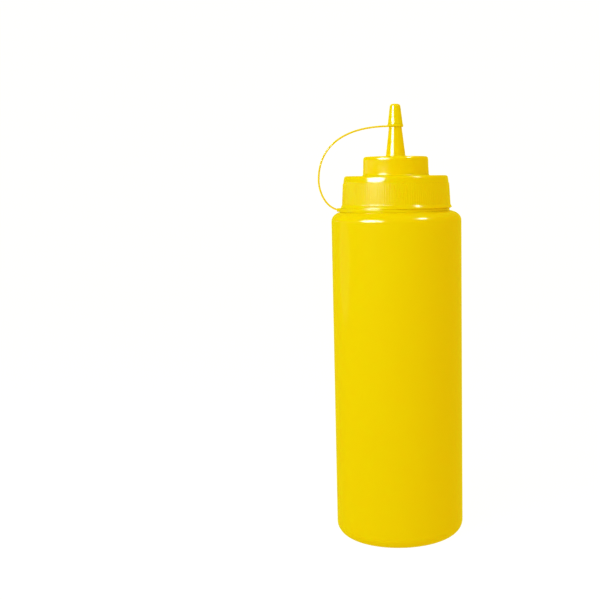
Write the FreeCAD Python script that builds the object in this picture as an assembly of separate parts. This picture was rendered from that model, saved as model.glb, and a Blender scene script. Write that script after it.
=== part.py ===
import FreeCAD, Part
import math
import os

# Condiment squeeze bottle: a blow-moulded round bottle, a stepped screw lid with a cone nozzle,
# and a tether, which is a neck ring, a bowed strap and a tip cap in one moulding.
# Millimetres. The origin is the centre of the base, +Z is up, and the strap bows out towards -X.

# Bottle
body_radius = 40.5
body_height = 205.45         # floor to the flat land that carries the tether's ring
base_edge_radius = 7.2
foot_width = 3.2             # flat ring that the bottle stands on
push_up_height = 3.0         # floor of the hollow under the base
push_up_run = 6.0            # radial length of the slope between the foot and that floor
push_up_blend = 4.0
pinch_margin = 1.1           # from that floor's rim to the ridge where the mould pinched the tube
pinch_width = 1.6
pinch_height = 0.6
shoulder_rise = 6.15
land_width = 0.8             # flat strip between the neck and the shoulder's curve
neck_radius = 30.7
neck_edge_radius = 1.2

# Lid
neck_clearance = 0.3         # radial gap from the neck to the lid, and to the ring where it is nearest
skirt_wall = 2.5             # at the skirt's foot, to the plain taper under the ribs
skirt_height = 20.0
skirt_draft = 3.3            # degrees
top_wall = 1.7
skirt_edge_radius = 2.0
flange_height = 2.5
flange_reach = 1.2           # past the plain skirt
flange_lip = 0.7             # height of the flange's rim over the lid's underside
flange_edge = 0.3
flange_blend = 1.0
flange_foot = 0.2            # flat underside past the plain skirt
rib_ledge = 0.08             # flange left outside the ribs' lower ends
rib_count = 144
rib_depth = 0.25
rib_foot_share = 0.66        # foot of one rib, of one pitch
rib_floor_rise = 0.15        # grooves stand out this much from the plain band over them
band_height = 4.6            # plain band between the ribs and the lid's first top
step_radius = 20.4
step_height = 11.7
step_draft = 1.4             # degrees
step_edge_radius = 1.4
step_foot_radius = 1.0
nozzle_foot_radius = 6.15
nozzle_tip_radius = 2.45
nozzle_height = 30.2
nozzle_blend = 0.8
nozzle_tip_edge = 0.5

# Tether
ring_shift = 1.15            # the strap pulls the loose ring this far off the axis
ring_width = 2.1
ring_thickness = 1.45
ring_edge = 0.5              # rounding of the ring's outer edges
cap_clearance = 0.15         # radial gap between the nozzle and the tip cap's bore
cap_depth = 12.2             # length of nozzle inside the tip cap
cap_wall = 0.75
cap_top_wall = 1.8
cap_top_radius = 1.7
cap_lip_height = 1.7
cap_lip_reach = 0.27
cap_lip_edge = 0.4
strap_width = 2.4
strap_thickness = 1.1
strap_bow = 13.2             # from the lid's flange out to the middle of the strap, at its widest
strap_turn_height = 18.2     # from the ring up to that widest place
strap_cap_pull = 0.65        # how far the bend stays level or upright, of the run or rise there:
strap_over_pull = 0.62       # at the cap, over and under the widest place, and at the ring
strap_under_pull = 0.42
strap_ring_pull = 0.65
tab_width = 6.0
tab_reach = 1.6              # past the ring

# Drawing aids
overcut = 1.0                # cutting solids run this far past the face they open
circle_handle = 0.5523       # Bezier handle of a quarter circle, of its radius

# Worked out from the sizes above
foot_outer = body_radius - base_edge_radius
foot_inner = foot_outer - foot_width
push_up_floor = foot_inner - push_up_run
shoulder_inner = neck_radius + land_width
bore_radius = neck_radius + neck_clearance
lid_bottom = body_height + ring_thickness
skirt_top = lid_bottom + skirt_height
neck_top = skirt_top - top_wall
skirt_foot_radius = bore_radius + skirt_wall
flange_radius = skirt_foot_radius + flange_reach
strap_reach = flange_radius + strap_bow
step_top = skirt_top + step_height
nozzle_tip = step_top + nozzle_height
cap_mouth = nozzle_tip - cap_depth
cap_top = nozzle_tip + cap_top_wall
ring_inner = bore_radius + ring_shift
ring_outer = ring_inner + ring_width
ring_middle = body_height + ring_thickness / 2
strap_start = cap_mouth + strap_thickness / 2
rib_bottom = lid_bottom + flange_height
rib_top = skirt_top - band_height


def point(r, z):
    return FreeCAD.Vector(r, 0, z)


def skirt_radius(z):
    """Radius of the plain tapered skirt at a height."""
    return skirt_foot_radius - (z - lid_bottom) * math.tan(math.radians(skirt_draft))


def nozzle_radius(z):
    """Radius of the nozzle's straight cone at a height."""
    slope = (nozzle_foot_radius - nozzle_tip_radius) / nozzle_height
    return nozzle_foot_radius - (z - step_top) * slope


def fillet_reaches(corners):
    """Length that each corner's fillet takes of its sides, shortened where two would meet."""
    tips = [point(r, z) for r, z, _ in corners]
    reaches = [0.0] * len(corners)
    for i in range(1, len(corners) - 1):
        angle = (tips[i - 1] - tips[i]).getAngle(tips[i + 1] - tips[i])
        reaches[i] = corners[i][2] / math.tan(angle / 2)
    limits = [1.0] * len(corners)
    for i in range(1, len(corners)):
        both = reaches[i - 1] + reaches[i]
        side = 0.98 * (tips[i] - tips[i - 1]).Length
        if both > side:
            limits[i - 1] = min(limits[i - 1], side / both)
            limits[i] = min(limits[i], side / both)
    return [reach * limit for reach, limit in zip(reaches, limits)]


def rounded_path(corners):
    """Edges through corners given as (r, z, fillet radius), sharp at both ends."""
    edges = []
    tips = [point(r, z) for r, z, _ in corners]
    last = tips[0]
    for i, reach in list(enumerate(fillet_reaches(corners)))[1:-1]:
        tip = tips[i]
        if reach > 0:
            back = (tips[i - 1] - tip).normalize()
            ahead = (tips[i + 1] - tip).normalize()
            half = back.getAngle(ahead) / 2
            radius = reach * math.tan(half)
            start = tip + back * reach
            end = tip + ahead * reach
            crown = tip + (back + ahead).normalize() * (radius / math.sin(half) - radius)
            edges.append(Part.LineSegment(last, start).toShape())
            edges.append(Part.Arc(start, crown, end).toShape())
            last = end
        else:
            edges.append(Part.LineSegment(last, tip).toShape())
            last = tip
    edges.append(Part.LineSegment(last, tips[-1]).toShape())
    return edges


def turned(edges):
    """Solid of revolution of a profile in the XZ plane whose ends lie on the axis."""
    face = Part.Face(Part.Wire(edges))
    return face.revolve(FreeCAD.Vector(0, 0, 0), FreeCAD.Vector(0, 0, 1), 360)


def on_axis(high, low):
    return Part.LineSegment(point(0, high), point(0, low)).toShape()


def quarter_ellipse(start, corner, end):
    """Quarter of an ellipse that rounds a square corner with any run and rise."""
    curve = Part.BezierCurve()
    curve.setPoles([start, corner, end])
    curve.setWeight(2, math.cos(math.pi / 4))
    return curve.toShape()


def make_bottle():
    """Base with its push-up, straight wall, elliptical shoulder and plain neck."""
    wall_top = body_height - shoulder_rise
    base = rounded_path([
        (0, push_up_height, 0),
        (push_up_floor, push_up_height, push_up_blend),
        (foot_inner, 0, push_up_blend / 2),
        (body_radius, 0, base_edge_radius),
        (body_radius, wall_top, 0),
    ])
    shoulder = quarter_ellipse(
        point(body_radius, wall_top), point(body_radius, body_height), point(shoulder_inner, body_height))
    neck = rounded_path([
        (shoulder_inner, body_height, 0),
        (neck_radius, body_height, 0),
        (neck_radius, neck_top, neck_edge_radius),
        (0, neck_top, 0),
    ])
    bottle = turned(base + [shoulder] + neck + [on_axis(neck_top, push_up_height)])
    return bottle.fuse(make_pinch_ridge())


def make_pinch_ridge():
    """Round-ended ridge along X that stands down from the floor of the push-up."""
    end = push_up_floor - pinch_margin
    side = pinch_width / 2
    run = end - side
    z = push_up_height - pinch_height
    corners = ((-run, -side), (run, -side), (run, side), (-run, side))
    a, b, c, d = [FreeCAD.Vector(x, y, z) for x, y in corners]
    outline = [
        Part.LineSegment(a, b).toShape(),
        Part.Arc(b, FreeCAD.Vector(end, 0, z), c).toShape(),
        Part.LineSegment(c, d).toShape(),
        Part.Arc(d, FreeCAD.Vector(-end, 0, z), a).toShape(),
    ]
    return Part.Face(Part.Wire(outline)).extrude(FreeCAD.Vector(0, 0, 2 * pinch_height))


def grip_outline(z):
    """Closed polygon of the ribbed skirt, three corners to a rib, scaled from the ribs' lower end."""
    foot = skirt_radius(rib_bottom)
    scale = skirt_radius(z) / foot
    floor = (foot + rib_floor_rise) * scale
    crest = floor + rib_depth * scale
    pitch = 2 * math.pi / rib_count
    foot_half = pitch * rib_foot_share / 2
    corners = []
    for rib in range(rib_count):
        for turn, r in ((-foot_half, floor), (0, crest), (foot_half, floor)):
            angle = rib * pitch + turn
            corners.append(FreeCAD.Vector(r * math.cos(angle), r * math.sin(angle), z))
    return corners


def make_grip():
    """Ribbed stretch of the skirt as a drafted prism with flat faces."""
    low = grip_outline(rib_bottom)
    high = grip_outline(rib_top)
    faces = [Part.Face(Part.makePolygon(ring + ring[:1])) for ring in (low, high)]
    for i in range(len(low)):
        quad = [low[i - 1], low[i], high[i], high[i - 1]]
        faces.append(Part.Face(Part.makePolygon(quad + quad[:1])))
    return Part.Solid(Part.Shell(faces))


def make_flange():
    """Flared lip under the ribs, up to the plane where the ribs start."""
    top = skirt_radius(rib_bottom) + rib_floor_rise + rib_depth + rib_ledge
    return turned(rounded_path([
        (0, lid_bottom, 0),
        (skirt_foot_radius + flange_foot, lid_bottom, flange_edge),
        (flange_radius, lid_bottom + flange_lip, flange_edge),
        (top, rib_bottom - flange_lip, flange_blend),
        (top, rib_bottom, 0),
        (0, rib_bottom, 0),
    ]) + [on_axis(rib_bottom, lid_bottom)])


def make_lid_top():
    """Plain band, first top, second step and nozzle, from the plane where the ribs end."""
    step_in = step_height * math.tan(math.radians(step_draft))
    return turned(rounded_path([
        (0, rib_top, 0),
        (skirt_radius(rib_top), rib_top, 0),
        (skirt_radius(skirt_top), skirt_top, skirt_edge_radius),
        (step_radius, skirt_top, step_foot_radius),
        (step_radius - step_in, step_top, step_edge_radius),
        (nozzle_foot_radius, step_top, nozzle_blend),
        (nozzle_tip_radius, nozzle_tip, nozzle_tip_edge),
        (0, nozzle_tip, 0),
    ]) + [on_axis(nozzle_tip, rib_top)])


def make_socket():
    """Space in the lid that the neck fills, with the neck's clearance at its side."""
    mouth = lid_bottom - overcut
    return turned(rounded_path([
        (0, mouth, 0),
        (bore_radius, mouth, 0),
        (bore_radius, neck_top, neck_edge_radius),
        (0, neck_top, 0),
    ]) + [on_axis(neck_top, mouth)])


def make_lid():
    lid = make_lid_top().fuse([make_grip(), make_flange()])
    return lid.cut(make_socket())


def make_tip_cap():
    """Tapered cap with a lip at its mouth and a bore that matches the nozzle's cone."""
    side = cap_clearance + cap_wall
    lip_top = cap_mouth + cap_lip_height
    lip_radius = nozzle_radius(lip_top) + side + cap_lip_reach
    outside = turned(rounded_path([
        (0, cap_mouth, 0),
        (lip_radius, cap_mouth, cap_lip_edge),
        (lip_radius, lip_top, cap_lip_edge),
        (nozzle_radius(lip_top) + side, lip_top, 0),
        (nozzle_radius(cap_top) + side, cap_top, cap_top_radius),
        (0, cap_top, 0),
    ]) + [on_axis(cap_top, cap_mouth)])
    opening = cap_mouth - overcut
    bore = turned(rounded_path([
        (0, opening, 0),
        (nozzle_radius(opening) + cap_clearance, opening, 0),
        (nozzle_tip_radius + cap_clearance, nozzle_tip, nozzle_tip_edge),
        (0, nozzle_tip, 0),
    ]) + [on_axis(nozzle_tip, opening)])
    return outside.cut(bore)


def quarter_bend(level_end, level_pull, upright_end, upright_pull):
    """Bezier edge that is level at one end and upright at the other; the pulls are its handles."""
    curve = Part.BezierCurve()
    level_handle = level_end + FreeCAD.Vector(-level_pull, 0, 0)
    upright_handle = upright_end + FreeCAD.Vector(0, 0, upright_pull)
    curve.setPoles([level_end, level_handle, upright_handle, upright_end])
    return curve.toShape()


def strap_side(offset):
    """Upper and lower bend of the strap's middle line moved outwards by an offset."""
    start = point(-(nozzle_radius(strap_start) + cap_clearance + cap_wall / 2), strap_start + offset)
    widest = point(-(strap_reach + offset), ring_middle + strap_turn_height)
    end = point(-(ring_shift + ring_inner + ring_width / 2), ring_middle - offset)
    stretch = circle_handle * offset
    upper = quarter_bend(
        start, strap_cap_pull * (start.x - widest.x - offset) + stretch,
        widest, strap_over_pull * (start.z - widest.z - offset) + stretch)
    lower = quarter_bend(
        end, strap_ring_pull * (end.x - widest.x - offset) + stretch,
        widest, -strap_under_pull * (widest.z - end.z - offset) - stretch)
    return start, end, [upper, lower]


def make_strap():
    """Flat strap from the tip cap's lip, out to its widest place and back in to the ring."""
    outer_start, outer_end, outer = strap_side(strap_thickness / 2)
    inner_start, inner_end, inner = strap_side(-strap_thickness / 2)
    ends = [
        Part.LineSegment(outer_start, inner_start).toShape(),
        Part.LineSegment(outer_end, inner_end).toShape(),
    ]
    outline = Part.Wire(Part.sortEdges(outer + inner + ends)[0])
    face = Part.Face(outline)
    face.translate(FreeCAD.Vector(0, -strap_width / 2, 0))
    return face.extrude(FreeCAD.Vector(0, strap_width, 0))


def make_ring():
    """Neck ring, off the axis towards the strap, with the tapered tab that the strap grows out of."""
    ring = turned(rounded_path([
        (0, body_height, 0),
        (ring_outer, body_height, ring_edge),
        (ring_outer, lid_bottom, ring_edge),
        (0, lid_bottom, 0),
    ]) + [on_axis(lid_bottom, body_height)])
    z = ring_middle - strap_thickness / 2
    root = -(ring_inner + ring_width / 2)
    tip = -(ring_outer + tab_reach)
    wide = tab_width / 2
    narrow = strap_width / 2
    corners = [(root, -wide), (tip, -narrow), (tip, narrow), (root, wide)]
    outline = [FreeCAD.Vector(x, y, z) for x, y in corners]
    tab = Part.Face(Part.makePolygon(outline + outline[:1])).extrude(FreeCAD.Vector(0, 0, strap_thickness))
    hole = Part.makeCylinder(ring_inner, ring_thickness + 2 * overcut, point(0, body_height - overcut))
    whole = ring.fuse(tab).cut(hole)
    whole.translate(point(-ring_shift, 0))
    return whole


def make_tether():
    return make_tip_cap().fuse([make_strap(), make_ring()])


def main():
    os.makedirs("parts", exist_ok=True)
    solids = {"bottle": make_bottle(), "lid": make_lid(), "tether": make_tether()}
    for name, shape in solids.items():
        print(name, "solids", len(shape.Solids), "valid", shape.isValid(), "volume", round(shape.Volume, 1))
        shape.exportStep("parts/" + name + ".step")


main()
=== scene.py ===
import bpy
import math
import numpy as np
from mathutils import Matrix, Vector


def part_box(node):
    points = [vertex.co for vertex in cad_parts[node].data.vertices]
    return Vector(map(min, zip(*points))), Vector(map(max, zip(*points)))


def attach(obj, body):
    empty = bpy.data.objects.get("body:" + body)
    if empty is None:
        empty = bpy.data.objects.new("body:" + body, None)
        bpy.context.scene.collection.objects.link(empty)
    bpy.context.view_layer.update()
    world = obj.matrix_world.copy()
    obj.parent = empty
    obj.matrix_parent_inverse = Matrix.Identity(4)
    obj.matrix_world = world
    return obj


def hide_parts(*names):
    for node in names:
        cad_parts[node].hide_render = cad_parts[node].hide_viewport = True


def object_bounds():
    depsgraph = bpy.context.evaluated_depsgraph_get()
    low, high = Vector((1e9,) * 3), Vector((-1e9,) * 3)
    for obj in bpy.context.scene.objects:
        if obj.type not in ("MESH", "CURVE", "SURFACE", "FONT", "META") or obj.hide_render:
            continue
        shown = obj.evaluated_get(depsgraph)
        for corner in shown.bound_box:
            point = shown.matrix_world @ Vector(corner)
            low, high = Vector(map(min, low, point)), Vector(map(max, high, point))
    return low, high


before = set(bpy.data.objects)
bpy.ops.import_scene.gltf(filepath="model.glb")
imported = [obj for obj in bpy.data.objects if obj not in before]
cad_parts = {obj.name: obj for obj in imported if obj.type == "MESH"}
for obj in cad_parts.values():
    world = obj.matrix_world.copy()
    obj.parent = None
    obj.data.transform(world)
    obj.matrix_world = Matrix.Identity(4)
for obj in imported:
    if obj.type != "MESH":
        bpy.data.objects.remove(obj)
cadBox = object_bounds()
mm = 0.001
sharpTurn = math.radians(42)     # faces that meet more steeply are shaded as a crisp edge

bottleLow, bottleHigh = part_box("bottle")
lidLow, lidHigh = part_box("lid")
tetherLow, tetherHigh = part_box("tether")


def addPiece(name, points, faces, nodeNames, material):
    mesh = bpy.data.meshes.new(name)
    mesh.from_pydata(points.tolist(), [], faces)
    mesh.validate()
    mesh.shade_smooth()
    mesh.set_sharp_from_angle(angle=sharpTurn)
    piece = bpy.data.objects.new(name, mesh)
    bpy.context.collection.objects.link(piece)
    piece.data.materials.append(material)
    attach(piece, "root")
    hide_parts(*nodeNames)
    print("made", name, len(points), "points")
    return piece


def outline(corners, arcSteps, longest):
    # Profile through corners given as (radius, height, fillet). A fillet is the arc that touches both
    # sides of its corner, and a straight run is cut so that no stretch is longer than `longest`.
    tips = np.array([corner[:2] for corner in corners], float)
    rows = [tips[:1]]
    for i in range(1, len(corners) - 1):
        back = tips[i - 1] - tips[i]
        ahead = tips[i + 1] - tips[i]
        back /= np.linalg.norm(back)
        ahead /= np.linalg.norm(ahead)
        half = math.acos(np.clip(back @ ahead, -1, 1)) / 2
        fillet = corners[i][2]
        if fillet:
            middle = (back + ahead) / np.linalg.norm(back + ahead)
            centre = tips[i] + middle * fillet / math.sin(half)
            swing = np.linspace(-1, 1, arcSteps + 1)[:, None] * (math.pi / 2 - half)
            side = (ahead - back) / np.linalg.norm(ahead - back)
            rows.append(centre - fillet * middle * np.cos(swing) + fillet * side * np.sin(swing))
        else:
            rows.append(tips[i:i + 1])
    rows.append(tips[-1:])
    return cutRuns(np.concatenate(rows), longest)


def cutRuns(points, longest):
    # Even cuts in every run of a polyline that is longer than the limit.
    runs = np.linalg.norm(np.diff(points, axis=0), axis=1)
    counts = np.maximum(np.ceil(runs / longest - 1e-6), 1).astype(int)
    place = np.concatenate([i + np.arange(n) / n for i, n in enumerate(counts)] + [[len(points) - 1.0]])
    knots = np.arange(len(points))
    return np.stack([np.interp(place, knots, points[:, k]) for k in range(2)], axis=1)


def guardRuns(points, near):
    # Points start + near * d and end - near * d in every long run of a polyline, where d is its direction,
    # so that the shading of the arcs at its ends does not spread along it.
    steps = np.diff(points, axis=0)
    runs = np.linalg.norm(steps, axis=1)[:, None]
    inset = steps * near / runs
    trios = np.stack([points[:-1], points[:-1] + inset, points[1:] - inset], axis=1)
    keep = np.repeat(runs > 3 * near, 3, axis=1)
    keep[:, 0] = True
    return np.concatenate([trios[keep], points[-1:]])


def gridFaces(rows, columns, closeRows=False):
    # Quads of a rows x columns grid whose columns wrap round; the rows wrap too for a ring.
    last = rows if closeRows else rows - 1
    i = np.arange(last)[:, None] * columns
    above = (np.arange(1, last + 1) % rows)[:, None] * columns
    j = np.arange(columns)[None, :]
    beside = (j + 1) % columns
    quads = np.stack([i + j, i + beside, above + beside, above + j], axis=-1)
    return quads.reshape(-1, 4).tolist()


def fanFaces(first, columns, hub, flip):
    # Triangles from one row of a grid to a hub point.
    j = np.arange(columns)
    beside = (j + 1) % columns
    fan = np.stack([first + beside, first + j, np.full(columns, hub)], axis=-1)
    return (fan[:, ::-1] if flip else fan).tolist()


def spin(profile, angles, swell=None, ring=False):
    # Surface of revolution: point (r, z) of the profile at angle a lies at ((r + s) cos a, (r + s) sin a, z),
    # where s is what swell(a, r, z) adds. An open profile starts and ends on the axis, each end one point.
    body = profile if ring else profile[1:-1]
    r, z = body[:, :1], body[:, 1:]
    a = angles[None, :]
    reach = r + (swell(a, r, z) if swell else 0)
    grid = np.stack([reach * np.cos(a), reach * np.sin(a), z + 0 * a], axis=-1).reshape(-1, 3)
    rows, columns = len(body), len(angles)
    faces = gridFaces(rows, columns, closeRows=ring)
    if ring:
        return grid, faces
    poles = np.array([[0, 0, profile[0, 1]], [0, 0, profile[-1, 1]]])
    faces += fanFaces(0, columns, len(grid), False)
    faces += fanFaces((rows - 1) * columns, columns, len(grid) + 1, True)
    return np.concatenate([grid, poles]), faces


def evenAngles(count):
    return np.arange(count) * 2 * math.pi / count


cameraSettings = {
    "distance": 615.9 * mm,      # from the bottle's axis, level
    "height": 224.7 * mm,
    "tiltDown": math.radians(7.382),
    "roll": math.radians(0.7),   # clockwise
    "lens": 59.12,
    "shift": (-0.1625, 0.0115),
}

camera = bpy.data.objects.new("camera", bpy.data.cameras.new("camera"))
bpy.context.collection.objects.link(camera)
camera.matrix_world = (
    Matrix.Translation((0, -cameraSettings["distance"], cameraSettings["height"]))
    @ Matrix.Rotation(math.pi / 2 - cameraSettings["tiltDown"], 4, "X")
    @ Matrix.Rotation(-cameraSettings["roll"], 4, "Z"))
camera.data.lens = cameraSettings["lens"]
camera.data.shift_x, camera.data.shift_y = cameraSettings["shift"]
bpy.context.scene.camera = camera
bpy.context.scene.view_settings.view_transform = "Standard"

# Boxes of light. Azimuth is measured from the camera's side, minus to the left. A box either lights the
# surfaces or is only mirrored in them, so that the soft light and the highlights are set apart.
softboxes = {
    "keySoft": {"azimuth": -39, "elevation": 25, "distance": 0.9, "size": (0.76, 0.65), "shape": "ELLIPSE",
                "power": 3.35, "colour": (0.53, 0.99, 0.9), "mirrored": False},
    "leftSoft": {"azimuth": -110, "elevation": 5, "distance": 0.9, "size": (0.6, 0.8), "shape": "ELLIPSE",
                 "power": 0.1, "colour": (0.8, 1.0, 0.8), "mirrored": False},
    "rightSoft": {"azimuth": 105, "elevation": 5, "distance": 0.9, "size": (0.6, 0.8), "shape": "ELLIPSE",
                  "power": 0.08, "colour": (1.0, 1.0, 0.7), "mirrored": False},
    "keyShine": {"azimuth": -46.5, "elevation": 22.5, "distance": 0.9, "size": (0.63, 0.44), "shape": "ELLIPSE",
                 "power": 15.3, "colour": (1.0, 1.0, 1.0), "mirrored": True},
    "rightShine": {"azimuth": 60, "elevation": 49, "distance": 0.9, "size": (0.22, 0.14), "shape": "ELLIPSE",
                   "power": 3.4, "colour": (1.0, 1.0, 1.0), "mirrored": True},
    "nearGlow": {"azimuth": -47, "elevation": 4.7, "distance": 0.9, "size": (0.66, 0.045), "shape": "RECTANGLE",
                 "power": 0.045, "colour": (1.0, 1.0, 1.0), "mirrored": True},
    "sideGlow": {"azimuth": -103, "elevation": 2.6, "distance": 0.9, "size": (1.2, 0.06), "shape": "RECTANGLE",
                 "power": 0.08, "colour": (1.0, 1.0, 1.0), "mirrored": True},
    "lowPanel": {"azimuth": -101, "elevation": -12, "distance": 0.4, "size": (0.2, 0.12), "shape": "ELLIPSE",
                 "power": 0.0065, "colour": (1.0, 1.0, 1.0), "mirrored": True},
}


def addSoftbox(name, box):
    # A flat light on a sphere round the lid, facing its centre.
    azimuth, elevation = math.radians(box["azimuth"]), math.radians(box["elevation"])
    target = Vector((0, 0, 0.85 * cadBox[1][2]))
    towards = Vector((
        math.sin(azimuth) * math.cos(elevation), -math.cos(azimuth) * math.cos(elevation), math.sin(elevation)))
    light = bpy.data.objects.new(name, bpy.data.lights.new(name, "AREA"))
    light.data.shape = box["shape"]
    light.data.size, light.data.size_y = box["size"]
    light.data.energy = box["power"]
    light.data.color = box["colour"]
    light.location = target + towards * box["distance"]
    light.rotation_euler = towards.to_track_quat("Z", "Y").to_euler()
    light.visible_glossy = box["mirrored"]
    light.visible_diffuse = not box["mirrored"]
    bpy.context.collection.objects.link(light)


for boxName, boxSettings in softboxes.items():
    addSoftbox(boxName, boxSettings)

worldSettings = {"below": (0.80, 0.70, 0.02, 1), "above": (0.86, 0.77, 0.02, 1), "strength": 1.0}


def addWorld(settings):
    # Saturated yellow fill, a little brighter from above. Gloss mirrors it too, so little pale sheen shows.
    world = bpy.data.worlds.new("studio")
    bpy.context.scene.world = world
    world.use_nodes = True
    nodes, links = world.node_tree.nodes, world.node_tree.links
    coord = nodes.new("ShaderNodeTexCoord")
    split = nodes.new("ShaderNodeSeparateXYZ")
    ramp = nodes.new("ShaderNodeValToRGB")
    ramp.color_ramp.elements[0].color = settings["below"]
    ramp.color_ramp.elements[0].position = 0.0
    ramp.color_ramp.elements[1].color = settings["above"]
    ramp.color_ramp.elements[1].position = 1.0
    links.new(coord.outputs["Generated"], split.inputs[0])
    links.new(split.outputs["Z"], ramp.inputs[0])
    links.new(ramp.outputs[0], nodes["Background"].inputs[0])
    nodes["Background"].inputs[1].default_value = settings["strength"]
    world.cycles.sampling_method = "NONE"


addWorld(worldSettings)

floorSettings = {
    "flat": 1.6,
    "bend": 0.8,
    "height": 3.0,
    "topBend": 0.5,
    "sides": 96,
    "glow": (0.955, 0.955, 0.985, 1),
    "tint": (0.15, 0.15, 0.15, 1),
    "roughness": 0.9,
}


def addFloor(settings):
    # Floor disc that bends up into a round backdrop with a ceiling, all seen from the inside.
    reach, height = settings["flat"] + settings["bend"], settings["height"]
    profile = outline([
        (0, 0, 0), (reach, 0, settings["bend"]), (reach, height, settings["topBend"]), (0, height, 0),
    ], arcSteps=16, longest=4)
    points, faces = spin(profile, evenAngles(settings["sides"]))
    mesh = bpy.data.meshes.new("floor")
    mesh.from_pydata(points.tolist(), [], faces)
    mesh.flip_normals()
    floor = bpy.data.objects.new("floor", mesh)
    bpy.context.collection.objects.link(floor)
    material = bpy.data.materials.new("paleFloor")
    material.use_nodes = True
    shader = material.node_tree.nodes["Principled BSDF"]
    shader.inputs["Base Color"].default_value = settings["tint"]
    shader.inputs["Roughness"].default_value = settings["roughness"]
    shader.inputs["Specular IOR Level"].default_value = 0.0
    shader.inputs["Emission Color"].default_value = settings["glow"]
    shader.inputs["Emission Strength"].default_value = 1.0
    mesh.materials.append(material)
    floor.visible_glossy = False
    floor.visible_diffuse = False
    floor.visible_shadow = False


addFloor(floorSettings)
print("camera, lights and floor are set")

# Noise scales are in turns per metre. The mottle mixes the pale and the deep colour, the sheen varies the
# roughness between its two values, and the grain and the streaks are bumps.
noiseScales = {"mottle": 30, "sheen": 120, "streaks": 700}
streakStretch = (1, 1, 0.02)         # streaks run up the wall, as the plastic was blown
scatter = (1.0, 0.7, 0.05)           # share of red, green and blue light that travels under the surface

plastics = {
    "bottlePlastic": {
        "pale": (0.938, 0.678, 0.0004, 1), "deep": (0.932, 0.658, 0.0004, 1),
        "roughness": (0.115, 0.14), "specular": 0.5, "grain": 900, "grainDepth": 0.000012,
        "streakDepth": 0.00001, "subsurface": 0.5, "depth": 1.5 * mm,
    },
    "lidPlastic": {
        "pale": (0.93, 0.68, 0.0004, 1), "deep": (0.925, 0.66, 0.0004, 1),
        "roughness": (0.10, 0.125), "specular": 0.5, "grain": 1500, "grainDepth": 0.0000015,
        "streakDepth": 0.0, "subsurface": 0.6, "depth": 1.5 * mm,
        "grip": (lidLow[2] + 2.5 * mm, lidLow[2] + 15.4 * mm, 0.09),
    },
    "tetherPlastic": {
        "pale": (0.93, 0.68, 0.0004, 1), "deep": (0.925, 0.66, 0.0004, 1),
        "roughness": (0.10, 0.125), "specular": 0.5, "grain": 1500, "grainDepth": 0.0000015,
        "streakDepth": 0.0, "subsurface": 0.3, "depth": 1.5 * mm,
    },
}


def addPlastic(name, look):
    # Mottled colour and sheen, fine bumps and a little light under the surface.
    material = bpy.data.materials.new(name)
    material.use_nodes = True
    nodes, links = material.node_tree.nodes, material.node_tree.links
    shader = nodes["Principled BSDF"]
    coord = nodes.new("ShaderNodeTexCoord")

    def noise(scale, detail, stretch=(1, 1, 1)):
        mapping = nodes.new("ShaderNodeMapping")
        mapping.inputs["Scale"].default_value = stretch
        texture = nodes.new("ShaderNodeTexNoise")
        texture.inputs["Scale"].default_value = scale
        texture.inputs["Detail"].default_value = detail
        links.new(coord.outputs["Object"], mapping.inputs["Vector"])
        links.new(mapping.outputs["Vector"], texture.inputs["Vector"])
        return texture.outputs["Fac"]

    def bump(height, distance, before=None):
        node = nodes.new("ShaderNodeBump")
        node.inputs["Distance"].default_value = distance
        links.new(height, node.inputs["Height"])
        if before:
            links.new(before, node.inputs["Normal"])
        return node.outputs["Normal"]

    mottle = noise(noiseScales["mottle"], 2)
    tint = nodes.new("ShaderNodeMix")
    tint.data_type = "RGBA"
    tint.inputs["A"].default_value = look["pale"]
    tint.inputs["B"].default_value = look["deep"]
    links.new(mottle, tint.inputs["Factor"])
    links.new(tint.outputs["Result"], shader.inputs["Base Color"])

    spread = nodes.new("ShaderNodeMapRange")
    spread.inputs["To Min"].default_value, spread.inputs["To Max"].default_value = look["roughness"]
    links.new(noise(noiseScales["sheen"], 3), spread.inputs["Value"])
    links.new(spread.outputs["Result"], shader.inputs["Roughness"])
    if "grip" in look:
        # Between two heights the surface is duller: roughness + dull * (1 inside the band, 0 outside).
        low, high, dull = look["grip"]
        place = nodes.new("ShaderNodeSeparateXYZ")
        links.new(coord.outputs["Object"], place.inputs[0])
        inside = nodes.new("ShaderNodeMath")
        inside.operation = "COMPARE"
        inside.inputs[1].default_value = (low + high) / 2
        inside.inputs[2].default_value = (high - low) / 2
        links.new(place.outputs["Z"], inside.inputs[0])
        addition = nodes.new("ShaderNodeMath")
        addition.operation = "MULTIPLY_ADD"
        addition.inputs[1].default_value = dull
        links.new(inside.outputs[0], addition.inputs[0])
        links.new(spread.outputs["Result"], addition.inputs[2])
        links.new(addition.outputs[0], shader.inputs["Roughness"])

    normal = bump(noise(look["grain"], 2), look["grainDepth"])
    if look["streakDepth"]:
        normal = bump(noise(noiseScales["streaks"], 2, streakStretch), look["streakDepth"], normal)
    links.new(normal, shader.inputs["Normal"])
    shader.inputs["Specular IOR Level"].default_value = look["specular"]
    shader.inputs["Subsurface Weight"].default_value = look["subsurface"]
    shader.inputs["Subsurface Radius"].default_value = scatter
    shader.inputs["Subsurface Scale"].default_value = look["depth"]
    return material


materials = {name: addPlastic(name, look) for name, look in plastics.items()}
print("finishes are set")

seamHeight = 0.06 * mm               # parting line left by the two halves of the mould

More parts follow.
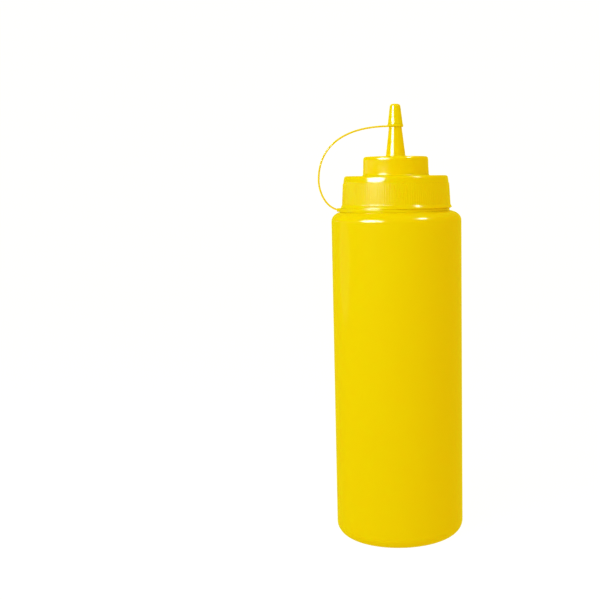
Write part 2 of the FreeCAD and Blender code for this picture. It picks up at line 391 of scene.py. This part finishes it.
bottleSizes = {
    "radius": (bottleHigh[0] - bottleLow[0]) / 2 - seamHeight,
    "neckTop": bottleHigh[2],
    "shoulderTop": tetherLow[2],     # flat land that carries the tether's ring
    "shoulderRise": 6.15 * mm,
    "shoulderInner": 31.5 * mm,
    "neckRadius": 30.7 * mm,
    "neckRoot": 0.15 * mm,
    "neckEdge": 1.2 * mm,
    "baseEdge": 7.2 * mm,
    "footWidth": 3.2 * mm,
    "pushUp": 3.0 * mm,
    "pushUpRun": 6.0 * mm,
    "pushUpBlend": 4.0 * mm,
    "ridgeMargin": 1.1 * mm,         # from the rim of the push-up's floor to the pinch ridge
    "ridgeWidth": 1.6 * mm,
    "ridgeHeight": 0.6 * mm,
    "seamWidth": 0.35 * mm,
    "seamFade": 2 * mm,              # run over which the parting line dies out at the foot and at the land
    "sides": 300,
}


def bottleProfile(s):
    # Foot and push-up, straight wall, quarter ellipse of the shoulder, land and neck, from axis to axis.
    wallTop = s["shoulderTop"] - s["shoulderRise"]
    footOuter = s["radius"] - s["baseEdge"]
    footInner = footOuter - s["footWidth"]
    base = outline([
        (0, s["pushUp"], 0), (footInner - s["pushUpRun"], s["pushUp"], s["pushUpBlend"]),
        (footInner, 0, s["pushUpBlend"] / 2), (s["radius"], 0, s["baseEdge"]), (s["radius"], wallTop, 0),
    ], arcSteps=12, longest=6 * mm)
    turn = np.linspace(0, math.pi / 2, 17)[1:, None]
    run = s["radius"] - s["shoulderInner"]
    shoulder = np.concatenate([
        s["shoulderInner"] + run * np.cos(turn), wallTop + s["shoulderRise"] * np.sin(turn)], axis=1)
    neck = outline([
        (s["shoulderInner"], s["shoulderTop"], 0), (s["neckRadius"], s["shoulderTop"], s["neckRoot"]),
        (s["neckRadius"], s["neckTop"], s["neckEdge"]), (0, s["neckTop"], 0),
    ], arcSteps=6, longest=8 * mm)
    return np.concatenate([base, shoulder, neck[1:]])


def seamedAngles(s):
    # Even turns, with closer ones at the parting line on either side, three of its widths each way.
    close = np.linspace(-3, 3, 13) * s["seamWidth"] / s["radius"]
    even = evenAngles(s["sides"])
    apart = np.abs((even[:, None] - np.array([0, math.pi, 2 * math.pi])) * s["radius"]).min(axis=1)
    even = even[apart > 3.5 * s["seamWidth"]]
    return np.sort(np.concatenate([even, close % (2 * math.pi), close + math.pi]))


def bottleSwell(a, r, z):
    # A low ridge with a bell-shaped section along the plane y = 0, from the foot to the shoulder.
    s = bottleSizes
    across = r * np.sin(a) / s["seamWidth"]
    ends = np.clip((r - 0.9 * s["shoulderInner"]) / s["seamFade"], 0, 1)
    return seamHeight * np.exp(-across ** 2) * ends


def makeRidge(s):
    # Closed bar along X under the push-up: ellipses whose width and height both follow the fourth root
    # of the cosine of the way along.
    reach = s["radius"] - s["baseEdge"] - s["footWidth"] - s["pushUpRun"] - s["ridgeMargin"]
    rows, columns = 41, 16
    along = np.linspace(-0.49, 0.49, rows)[:, None] * math.pi
    turn = evenAngles(columns)[None, :]
    size = np.cos(along) ** 0.25
    x = reach * np.sin(along) + 0 * turn
    y = s["ridgeWidth"] / 2 * size * np.cos(turn)
    z = s["pushUp"] + s["ridgeHeight"] * size * np.sin(turn)
    grid = np.stack([x, y, z], axis=-1).reshape(-1, 3)
    hubs = np.array([[-reach, 0, s["pushUp"]], [reach, 0, s["pushUp"]]])
    faces = gridFaces(rows, columns)
    faces += fanFaces(0, columns, len(grid), False)
    faces += fanFaces((rows - 1) * columns, columns, len(grid) + 1, True)
    return np.concatenate([grid, hubs]), faces


points, faces = spin(bottleProfile(bottleSizes), seamedAngles(bottleSizes), bottleSwell)
addPiece("bottleBody", points, faces, ["bottle"], materials["bottlePlastic"])
points, faces = makeRidge(bottleSizes)
addPiece("pinchRidge", points, faces, ["bottle"], materials["bottlePlastic"])

lidSizes = {
    "bottom": lidLow[2],
    "tip": lidHigh[2],
    "skirtHeight": 20.0 * mm,
    "skirtFoot": 33.5 * mm,
    "skirtDraft": math.tan(math.radians(3.3)),
    "skirtEdge": 1.6 * mm,
    "skirtCrown": (3.7 * mm, 0.34 * mm),     # drop and inward reach of the easing under the top edge
    "flangeHeight": 2.5 * mm,
    "flangeReach": 1.12 * mm,
    "flangeIn": 0.2 * mm,            # from the skirt out to where the flange's underside starts to slope
    "flangeLip": 0.5 * mm,
    "flangeEdge": 0.2 * mm,
    "flangeRim": 0.3 * mm,
    "ribs": 144,
    "ribRise": 0.28 * mm,            # grooves stand out this much from the plain band
    "ribDepth": 0.09 * mm,
    "ribEnd": 0.03 * mm,
    "band": 4.6 * mm,
    "stepFoot": 20.26 * mm,
    "stepHeight": 11.7 * mm,
    "stepDraft": math.tan(math.radians(0.75)),
    "stepEdge": 1.5 * mm,
    "stepCrown": (2.2 * mm, 0.255 * mm),
    "stepFlare": (6.0 * mm, 0.22 * mm),     # height and outward reach of the gentle flare at its foot
    "stepBlend": 1.0 * mm,
    "crownBlend": 6 * mm,            # arc where an easing under a top edge starts
    "flareBlend": 60 * mm,           # arc where the flare at the step's foot ends
    "nozzleFoot": 6.15 * mm,
    "nozzleTip": 2.45 * mm,
    "nozzleBlend": 0.8 * mm,
    "nozzleEdge": 0.5 * mm,
    "bore": 31.0 * mm,
    "boreEdge": 0.2 * mm,
    "shadeGuard": 0.8 * mm,          # how far the shading of an arc may spread along a straight run
    "sidesPerRib": 6,
}


def lidHeights(s):
    # Foot and top of the ribs, top of the skirt and top of the step.
    skirtTop = s["bottom"] + s["skirtHeight"]
    return s["bottom"] + s["flangeHeight"], skirtTop - s["band"], skirtTop, skirtTop + s["stepHeight"]


def lidProfile(s):
    # Socket for the neck, flange, drafted skirt, plain band, step and nozzle, from axis to axis.
    ribBottom, ribTop, skirtTop, stepTop = lidHeights(s)
    lean = s["skirtDraft"]

    def skirtAt(z):
        return s["skirtFoot"] - (z - s["bottom"]) * lean

    def stepAt(z):
        return s["stepFoot"] - (z - skirtTop) * s["stepDraft"]

    crownDrop, crownIn = s["skirtCrown"]
    stepDrop, stepIn = s["stepCrown"]
    flareRise, flareOut = s["stepFlare"]
    end = s["ribEnd"]
    return guardRuns(outline([
        (0, bottleSizes["neckTop"], 0),
        (s["bore"], bottleSizes["neckTop"], bottleSizes["neckEdge"]),
        (s["bore"], s["bottom"], s["boreEdge"]),
        (s["skirtFoot"] + s["flangeIn"], s["bottom"], s["flangeEdge"]),
        (s["skirtFoot"] + s["flangeReach"], s["bottom"] + s["flangeLip"], s["flangeRim"]),
        (skirtAt(ribBottom) + s["ribRise"] + s["ribDepth"], ribBottom - end, 0),
        (skirtAt(ribBottom), ribBottom, 0),
        (skirtAt(ribTop), ribTop, 0),
        (skirtAt(ribTop), ribTop + end, 0),
        (skirtAt(skirtTop - crownDrop), skirtTop - crownDrop, s["crownBlend"]),
        (skirtAt(skirtTop) - crownIn, skirtTop, s["skirtEdge"]),
        (s["stepFoot"] + flareOut, skirtTop, s["stepBlend"]),
        (stepAt(skirtTop + flareRise), skirtTop + flareRise, s["flareBlend"]),
        (stepAt(stepTop - stepDrop), stepTop - stepDrop, s["crownBlend"]),
        (stepAt(stepTop) - stepIn, stepTop, s["stepEdge"]),
        (s["nozzleFoot"], stepTop, s["nozzleBlend"]),
        (s["nozzleTip"], s["tip"], s["nozzleEdge"]),
        (0, s["tip"], 0),
    ], arcSteps=6, longest=40 * mm), s["shadeGuard"])


def lidSwell(a, r, z):
    # Upright ribs: a raised cosine of the turn on a low step, between the flange and the plain band.
    s = lidSizes
    ribBottom, ribTop, _, _ = lidHeights(s)
    hair = 0.01 * mm
    wave = 0.5 + 0.5 * np.cos(s["ribs"] * a)
    ribbed = (z > ribBottom - hair) & (z < ribTop + hair) & (r > s["bore"] + 0.3 * mm)
    return (s["ribRise"] + s["ribDepth"] * wave) * ribbed


lidAngles = evenAngles(lidSizes["ribs"] * lidSizes["sidesPerRib"])
points, faces = spin(lidProfile(lidSizes), lidAngles, lidSwell)
addPiece("lidShell", points, faces, ["lid"], materials["lidPlastic"])

tetherSizes = {
    "ringBottom": tetherLow[2],
    "ringTop": lidLow[2],
    "ringShift": 1.15 * mm,          # the strap pulls the loose ring this far towards -X
    "ringInner": 32.15 * mm,
    "ringWidth": 2.1 * mm,
    "ringEdge": 0.35 * mm,
    "ringFootEdge": 0.08 * mm,
    "ringCut": 0.35 * mm,            # longest stretch of its section, so that it can bend to its bed
    "bedReach": 0.4 * mm,            # the most that the ring's foot and top give way to what they lie on
    "bedGap": 0.02 * mm,
    "tabReach": 1.6 * mm,
    "tabWidth": 6.0 * mm,
    "tabTaper": 1.2,                 # 1 is a straight taper, more is hollower
    "capTop": tetherHigh[2],
    "capMouth": 256.6 * mm,
    "capClearance": 0.15 * mm,
    "capWall": 0.75 * mm,
    "capTopEdge": 1.7 * mm,
    "capBoreEdge": 0.4 * mm,
    "capMouthEdge": 0.15 * mm,
    "lipRoot": 0.12 * mm,
    "lipHeight": 1.7 * mm,
    "lipReach": 0.27 * mm,
    "lipEdge": 0.4 * mm,
    "strapWidth": 2.4 * mm,
    "strapThickness": 1.1 * mm,
    "strapReach": 47.9 * mm,
    "strapTurn": 18.2 * mm,
    "pulls": (0.65, 0.62, 0.42, 0.65),       # at the cap, over and under the widest place, and at the ring
    "flare": 1.2 * mm,               # more width at either root of the strap
    "flareRun": 2.2 * mm,
    "sectionPower": 4,
    "pathPoints": 220,
    "sectionPoints": 24,
}


def nozzleRadius(z):
    # Straight taper: foot - (z - stepTop) * (foot - tip) / height.
    _, _, _, stepTop = lidHeights(lidSizes)
    slope = (lidSizes["nozzleFoot"] - lidSizes["nozzleTip"]) / (lidSizes["tip"] - stepTop)
    return lidSizes["nozzleFoot"] - (z - stepTop) * slope


def capProfile(s):
    # Tip cap that follows the nozzle's taper outside a clearance, with a low lip round its mouth.
    lipTop = s["capMouth"] + s["lipHeight"]
    side = s["capClearance"] + s["capWall"]
    bore = s["capClearance"]
    lip = nozzleRadius(lipTop) + side + s["lipReach"]
    tip = lidSizes["tip"]
    return outline([
        (0, tip, 0),
        (nozzleRadius(tip) + bore, tip, s["capBoreEdge"]),
        (nozzleRadius(s["capMouth"]) + bore, s["capMouth"], s["capMouthEdge"]),
        (lip, s["capMouth"], s["lipEdge"]),
        (lip, lipTop, s["lipEdge"]),
        (nozzleRadius(lipTop) + side, lipTop, s["lipRoot"]),
        (nozzleRadius(s["capTop"]) + side, s["capTop"], s["capTopEdge"]),
        (0, s["capTop"], 0),
    ], arcSteps=8, longest=1.5 * mm)


def ringProfile(s):
    # Closed rectangle with rounded corners, the upper outer one rounder than the rest.
    inner, outer = s["ringInner"], s["ringInner"] + s["ringWidth"]
    low, high = s["ringBottom"], s["ringTop"]
    edge, foot = s["ringEdge"], s["ringFootEdge"]
    turn = np.linspace(0, math.pi / 2, 6)
    arcs = []
    corners = ((outer - foot, low + foot, foot, 3), (outer - edge, high - edge, edge, 0),
               (inner + foot, high - foot, foot, 1), (inner + foot, low + foot, foot, 2))
    for r, z, fillet, quarter in corners:
        at = turn + quarter * math.pi / 2
        arcs.append(np.stack([r + fillet * np.cos(at), z + fillet * np.sin(at)], axis=1))
    return cutRuns(np.concatenate(arcs + [arcs[0][:1]]), s["ringCut"])[:-1]


def bedRing(points, s):
    # The soft ring fills the grooves beside it: at the share h of its height, a point moves by
    # (1 - h) * down + h * up, where down follows the bottle's shoulder and up the flange's sloping underside.
    r = np.hypot(points[:, 0], points[:, 1])
    share = (points[:, 2] - s["ringBottom"]) / (s["ringTop"] - s["ringBottom"])
    side = bottleProfile(bottleSizes)
    wallTop = bottleSizes["shoulderTop"] - bottleSizes["shoulderRise"]
    shoulder = side[(side[:, 1] > wallTop) & (side[:, 1] <= s["ringBottom"])]
    shoulder = shoulder[np.argsort(shoulder[:, 0])]
    down = np.interp(r, shoulder[:, 0], shoulder[:, 1]) + s["bedGap"] - s["ringBottom"]
    steepness = lidSizes["flangeLip"] / (lidSizes["flangeReach"] - lidSizes["flangeIn"])
    up = (r - lidSizes["skirtFoot"] - lidSizes["flangeIn"]) * steepness - s["bedGap"]
    down, up = np.clip(down, -s["bedReach"], 0), np.clip(up, 0, s["bedReach"])
    points[:, 2] += (1 - share) * down + share * up


def tabSwell(a, r, z):
    # A tapered tongue at -X: the outer side moves out by a smooth bump of the distance across it.
    s = tetherSizes
    across = np.abs(np.sin(a)) * r / (s["tabWidth"] / 2)
    bump = np.clip(1 - across, 0, 1) ** s["tabTaper"] * (np.cos(a) < 0)
    outer = np.clip((r - s["ringInner"] - s["ringWidth"] / 2) / (s["ringWidth"] / 2), 0, 1)
    return s["tabReach"] * bump * outer


def strapPath(s, count):
    # Two cubic Bezier curves in the plane y = 0, level at the cap and at the ring, upright at the widest
    # place between them, resampled to even lengths.
    startHeight = s["capMouth"] + s["strapThickness"] / 2
    ringMiddle = (s["ringBottom"] + s["ringTop"]) / 2
    start = np.array([-(nozzleRadius(startHeight) + s["capClearance"] + s["capWall"] / 2), startHeight])
    wide = np.array([-s["strapReach"], ringMiddle + s["strapTurn"]])
    end = np.array([-(s["ringShift"] + s["ringInner"] + s["ringWidth"] / 2), ringMiddle])
    overRun, overRise = start - wide
    underRun, underRise = end[0] - wide[0], wide[1] - end[1]
    capPull, overPull, underPull, ringPull = s["pulls"]
    t = np.linspace(0, 1, 400)[:, None]

    def bezier(a, b, c, d):
        return (1 - t) ** 3 * a + 3 * (1 - t) ** 2 * t * b + 3 * (1 - t) * t ** 2 * c + t ** 3 * d

    over = bezier(start, start - [capPull * overRun, 0], wide + [0, overPull * overRise], wide)
    under = bezier(wide, wide - [0, underPull * underRise], end - [ringPull * underRun, 0], end)
    dense = np.concatenate([over, under[1:]])
    length = np.concatenate([[0], np.cumsum(np.linalg.norm(np.diff(dense, axis=0), axis=1))])
    even = np.linspace(0, length[-1], count)
    return np.stack([np.interp(even, length, dense[:, k]) for k in range(2)], axis=1), even


def makeStrap(s):
    # A rounded rectangle (a fourth-power ellipse) carried along the path, wider at both roots.
    path, along = strapPath(s, s["pathPoints"])
    tangent = np.gradient(path, axis=0)
    tangent /= np.linalg.norm(tangent, axis=1, keepdims=True)
    normal = np.stack([-tangent[:, 1], tangent[:, 0]], axis=1)
    turn = evenAngles(s["sectionPoints"])
    power = 2 / s["sectionPower"]
    c, d = np.cos(turn), np.sin(turn)
    sectionY = np.sign(c) * np.abs(c) ** power
    sectionN = np.sign(d) * np.abs(d) ** power
    fromEnd = np.minimum(along, along[-1] - along)[:, None]
    root = np.exp(-(fromEnd / s["flareRun"]) ** 2)
    halfWidth = s["strapWidth"] / 2 + s["flare"] / 2 * root
    halfThick = s["strapThickness"] / 2
    x = path[:, :1] + normal[:, :1] * halfThick * sectionN
    z = path[:, 1:] + normal[:, 1:] * halfThick * sectionN
    y = halfWidth * sectionY
    grid = np.stack([x, y + 0 * x, z], axis=-1).reshape(-1, 3)
    rows, columns = len(path), len(turn)
    hubs = np.array([[path[0, 0], 0, path[0, 1]], [path[-1, 0], 0, path[-1, 1]]])
    faces = gridFaces(rows, columns)
    faces += fanFaces(0, columns, len(grid), False)
    faces += fanFaces((rows - 1) * columns, columns, len(grid) + 1, True)
    return np.concatenate([grid, hubs]), faces


points, faces = spin(capProfile(tetherSizes), evenAngles(96))
addPiece("tipCap", points, faces, ["tether"], materials["tetherPlastic"])
points, faces = spin(ringProfile(tetherSizes), evenAngles(720), tabSwell, ring=True)
points[:, 0] -= tetherSizes["ringShift"]
bedRing(points, tetherSizes)
addPiece("neckRing", points, faces, ["tether"], materials["tetherPlastic"])
points, faces = makeStrap(tetherSizes)
addPiece("strap", points, faces, ["tether"], materials["tetherPlastic"])
